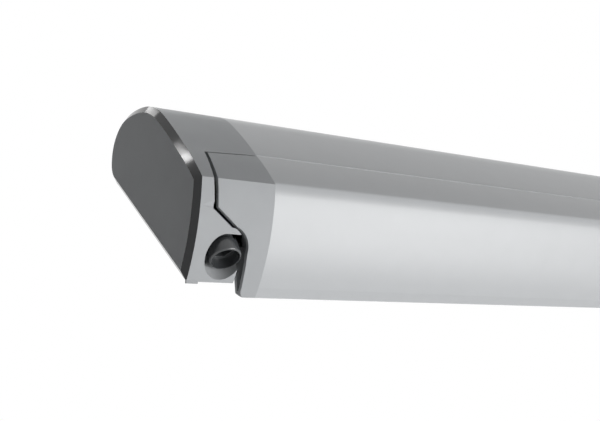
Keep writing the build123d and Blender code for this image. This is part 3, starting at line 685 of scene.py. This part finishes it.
class AWNING_OT_roll(bpy.types.Operator):
    """Cloth wound on the tube, as one spiral whose edges show at the ends."""
    bl_idname = "awning.roll"
    bl_label = "Fabric roll"

    def execute(self, context):
        sizes = settings()[1]
        turns = (ROLL_RADIUS - TUBE_RADIUS - ROLL_TUBE_GAP) / sizes.cloth
        cuts = int(turns * CUTS_PER_TURN)
        deselect()
        bpy.ops.mesh.primitive_grid_add(x_subdivisions=ROLL_COLUMNS, y_subdivisions=cuts, size=1)
        piece = bpy.context.active_object
        piece.name = "fabric_roll_spiral"
        uv = piece.data.uv_layers.active
        uv.name = "cloth"
        half = ROLL_HIGH.x
        places = {}
        for vertex in piece.data.vertices:
            share = vertex.co.y + 0.5
            angle = share * turns * 2 * pi
            radius = ROLL_RADIUS - ROLL_SKIN - share * turns * sizes.cloth
            waver = ROLL_WAVER * sin(angle * WAVES_PER_RADIAN) * abs(vertex.co.x * 2) ** WAVER_FALL
            x = vertex.co.x * 2 * (half - ROLL_END_GAP) + (waver if vertex.co.x > 0 else -waver)
            places[vertex.index] = (x, share * ROLL_CLOTH_SHOWN)
            vertex.co = Vector((x, ROLL_CENTRE.y + radius * sin(angle), ROLL_CENTRE.z + radius * cos(angle)))
        for loop in piece.data.loops:
            uv.data[loop.index].uv = places[loop.vertex_index]
        thick = piece.modifiers.new("thickness", "SOLIDIFY")
        thick.thickness = sizes.cloth * WOUND_SHARE
        thick.offset = 0
        finish_modifiers(piece)
        pick(piece)
        bpy.ops.object.shade_smooth_by_angle(angle=radians(40))
        give(piece, bpy.data.materials["coated_canvas"])
        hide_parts("fabric_roll")
        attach(piece, "roller")
        return {"FINISHED"}


class AWNING_OT_finishes(bpy.types.Operator):
    """Materials of the CAD nodes that stay as they are."""
    bl_idname = "awning.finishes"
    bl_label = "Finishes"

    def execute(self, context):
        colours = settings()[0]
        finish = {
            "steel": drawn_metal("zinc_plated_steel", linear(ZINC), 0.35),
            "mill_aluminium": drawn_metal("anodised_aluminium", linear("#C8C9CA"), 0.33),
            "coated_arm": powder_coat("powder_coated_arm", colours.arm),
            "cast_alloy": cast_metal("blasted_casting", colours.casting),
            "gear_case": cast_metal("die_cast_case", linear("#9C9D9E")),
            "wheel_brass": drawn_metal("machined_brass", linear("#C8A45A"), 0.3),
            "bearing_plastic": moulded_plastic("natural_acetal", colours.bearing, 0.3),
            "fitting_plastic": moulded_plastic("glass_filled_nylon", colours.fitting, 0.45),
            "seal_rubber": rubber("epdm_rubber", linear("#1C1C1D")),
            "foam": rubber("closed_cell_foam", linear("#2A2A2B")),
            "keder": moulded_plastic("pvc_cord", linear("#C9C8C4"), 0.4),
        }
        slots = {part["node"]: part["material_slot"] for part in frame["record"]["subparts"]}
        for node, piece in frame["nodes"].items():
            if slots[node] in finish:
                give(piece, finish[slots[node]])
        return {"FINISHED"}


class AWNING_OT_stage(bpy.types.Operator):
    """Pale floor, soft studio lights and the camera at the photograph's viewing angle."""
    bl_idname = "awning.stage"
    bl_label = "Stage"

    def execute(self, context):
        sizes = settings()[1]
        deselect()
        bpy.ops.mesh.primitive_plane_add(size=FLOOR_SIZE, location=(0, 0, -sizes.floor_depth))
        floor = context.active_object
        floor.name = "studio_floor"
        give(floor, floor_material())
        floor.visible_shadow = False
        settle(floor)
        world_light()
        sun_light("key_light", KEY_TOWARD, KEY_STRENGTH, KEY_SPREAD)
        sun_light("rear_light", REAR_TOWARD, REAR_STRENGTH, REAR_SPREAD)
        glint_light("crest_glint", *CREST_GLINT)
        glint_light("slope_glint", *SLOPE_GLINT)
        photo_camera()
        context.scene.view_settings.view_transform = "Standard"
        return {"FINISHED"}


def floor_material():
    """Matt painted floor, white to the camera apart from the object's shadow."""
    material, tree, shader = new_material("studio_paint", Base_Color=linear("#CFCFCF"), Roughness=0.9)
    glow = add_node(tree, "ShaderNodeEmission", Color=(1, 1, 1, 1), Strength=1.0)
    path = add_node(tree, "ShaderNodeLightPath")
    seen = add_node(tree, "ShaderNodeMath", {0: backdrop_rays(tree, path)}, operation="MULTIPLY")
    seen.inputs[1].default_value = FLOOR_GLOW
    mix = add_node(tree, "ShaderNodeMixShader",
                   {0: seen.outputs["Value"], 1: shader.outputs["BSDF"], 2: glow.outputs["Emission"]})
    # The floor is clear from below, so that the underside can be seen
    below = add_node(tree, "ShaderNodeNewGeometry").outputs["Backfacing"]
    clear = add_node(tree, "ShaderNodeBsdfTransparent")
    both = add_node(
        tree, "ShaderNodeMixShader", {0: below, 1: mix.outputs["Shader"], 2: clear.outputs["BSDF"]})
    tree.links.new(both.outputs["Shader"], tree.nodes["Material Output"].inputs["Surface"])
    return material


def world_light():
    """Even grey room light, with a white background for camera and mirror rays."""
    world = bpy.context.scene.world or bpy.data.worlds.new("studio")
    bpy.context.scene.world = world
    world.use_nodes = True
    tree = world.node_tree
    tree.nodes.clear()
    path = add_node(tree, "ShaderNodeLightPath")
    room = add_node(tree, "ShaderNodeBackground", Color=(1, 1, 1, 1), Strength=ROOM_LIGHT)
    backdrop = add_node(tree, "ShaderNodeBackground", Color=(1, 1, 1, 1), Strength=1.0)
    mix = add_node(tree, "ShaderNodeMixShader", {
        0: backdrop_rays(tree, path), 1: room.outputs["Background"], 2: backdrop.outputs["Background"]})
    add_node(tree, "ShaderNodeOutputWorld", {"Surface": mix.outputs["Shader"]})


def backdrop_rays(tree, path):
    """1 for the rays that see the white backdrop: camera, mirror and glass rays."""
    first = add_node(tree, "ShaderNodeMath", {
        0: path.outputs["Is Camera Ray"], 1: path.outputs["Is Glossy Ray"]}, operation="MAXIMUM")
    both = add_node(tree, "ShaderNodeMath", {
        0: first.outputs["Value"], 1: path.outputs["Is Transmission Ray"]}, operation="MAXIMUM")
    return both.outputs["Value"]


def sun_light(name, toward, strength, spread):
    """Soft, even light over the whole stage, coming from one direction."""
    deselect()
    bpy.ops.object.light_add(type="SUN", location=Vector(toward) * LAMP_DISTANCE)
    lamp = bpy.context.active_object
    lamp.name = name
    lamp.data.energy = strength
    lamp.data.angle = radians(spread)
    lamp.rotation_euler = Vector(toward).to_track_quat("Z", "Y").to_euler()


def glint_light(name, place, target, length, power):
    """Narrow strip light that shows as one soft glint on the glossy bevel."""
    deselect()
    bpy.ops.object.light_add(type="AREA", location=place)
    lamp = bpy.context.active_object
    lamp.name = name
    lamp.data.shape = "RECTANGLE"
    lamp.data.size = length
    lamp.data.size_y = GLINT_WIDTH
    lamp.data.energy = power
    forward = (Vector(target) - Vector(place)).normalized()
    across = (GLINT_RUN - forward * GLINT_RUN.dot(forward)).normalized()
    lamp.rotation_euler = Matrix((across, across.cross(forward), -forward)).transposed().to_euler()
    lamp.visible_camera = False


def photo_camera():
    """Camera near the left end, a little under the awning."""
    up = CAMERA_RIGHT.cross(CAMERA_FORWARD)
    turn = Matrix((CAMERA_RIGHT, up, -CAMERA_FORWARD)).transposed().to_4x4()
    deselect()
    bpy.ops.object.camera_add(location=CAMERA_PLACE, rotation=turn.to_euler())
    camera = bpy.context.active_object
    camera.name = "photo_camera"
    camera.data.lens = CAMERA_LENS
    camera.data.sensor_width = CAMERA_SENSOR
    camera.data.clip_start = CAMERA_CLIP
    bpy.context.scene.camera = camera


STEPS = (AWNING_OT_profiles, AWNING_OT_caps, AWNING_OT_cup, AWNING_OT_screws, AWNING_OT_canopy,
         AWNING_OT_roll, AWNING_OT_finishes, AWNING_OT_stage)


class AWNING_PT_panel(bpy.types.Panel):
    """Buttons that build the awning's pieces, and its colours and sizes."""
    bl_label = "Awning"
    bl_idname = "AWNING_PT_panel"
    bl_space_type = "VIEW_3D"
    bl_region_type = "UI"
    bl_category = "Awning"

    def draw(self, context):
        for step in STEPS:
            self.layout.operator(step.bl_idname)
        for group in settings():
            for name in group.__annotations__:
                self.layout.prop(group, name)


CLASSES = (AwningColours, AwningSizes, *STEPS, AWNING_PT_panel)


def register():
    """Registers the classes and gives the scene its property groups."""
    for cls in CLASSES:
        bpy.utils.register_class(cls)
    bpy.types.Scene.awning_colours = bpy.props.PointerProperty(type=AwningColours)
    bpy.types.Scene.awning_sizes = bpy.props.PointerProperty(type=AwningSizes)


def unregister():
    """Takes back what register did."""
    del bpy.types.Scene.awning_sizes
    del bpy.types.Scene.awning_colours
    for cls in reversed(CLASSES):
        bpy.utils.unregister_class(cls)


def main():
    """Builds every piece in order."""
    register()
    bpy.ops.awning.profiles()
    bpy.ops.awning.caps()
    bpy.ops.awning.cup()
    bpy.ops.awning.screws()
    bpy.ops.awning.canopy()
    bpy.ops.awning.roll()
    bpy.ops.awning.finishes()
    bpy.ops.awning.stage()


if __name__ == "__main__":
    main()
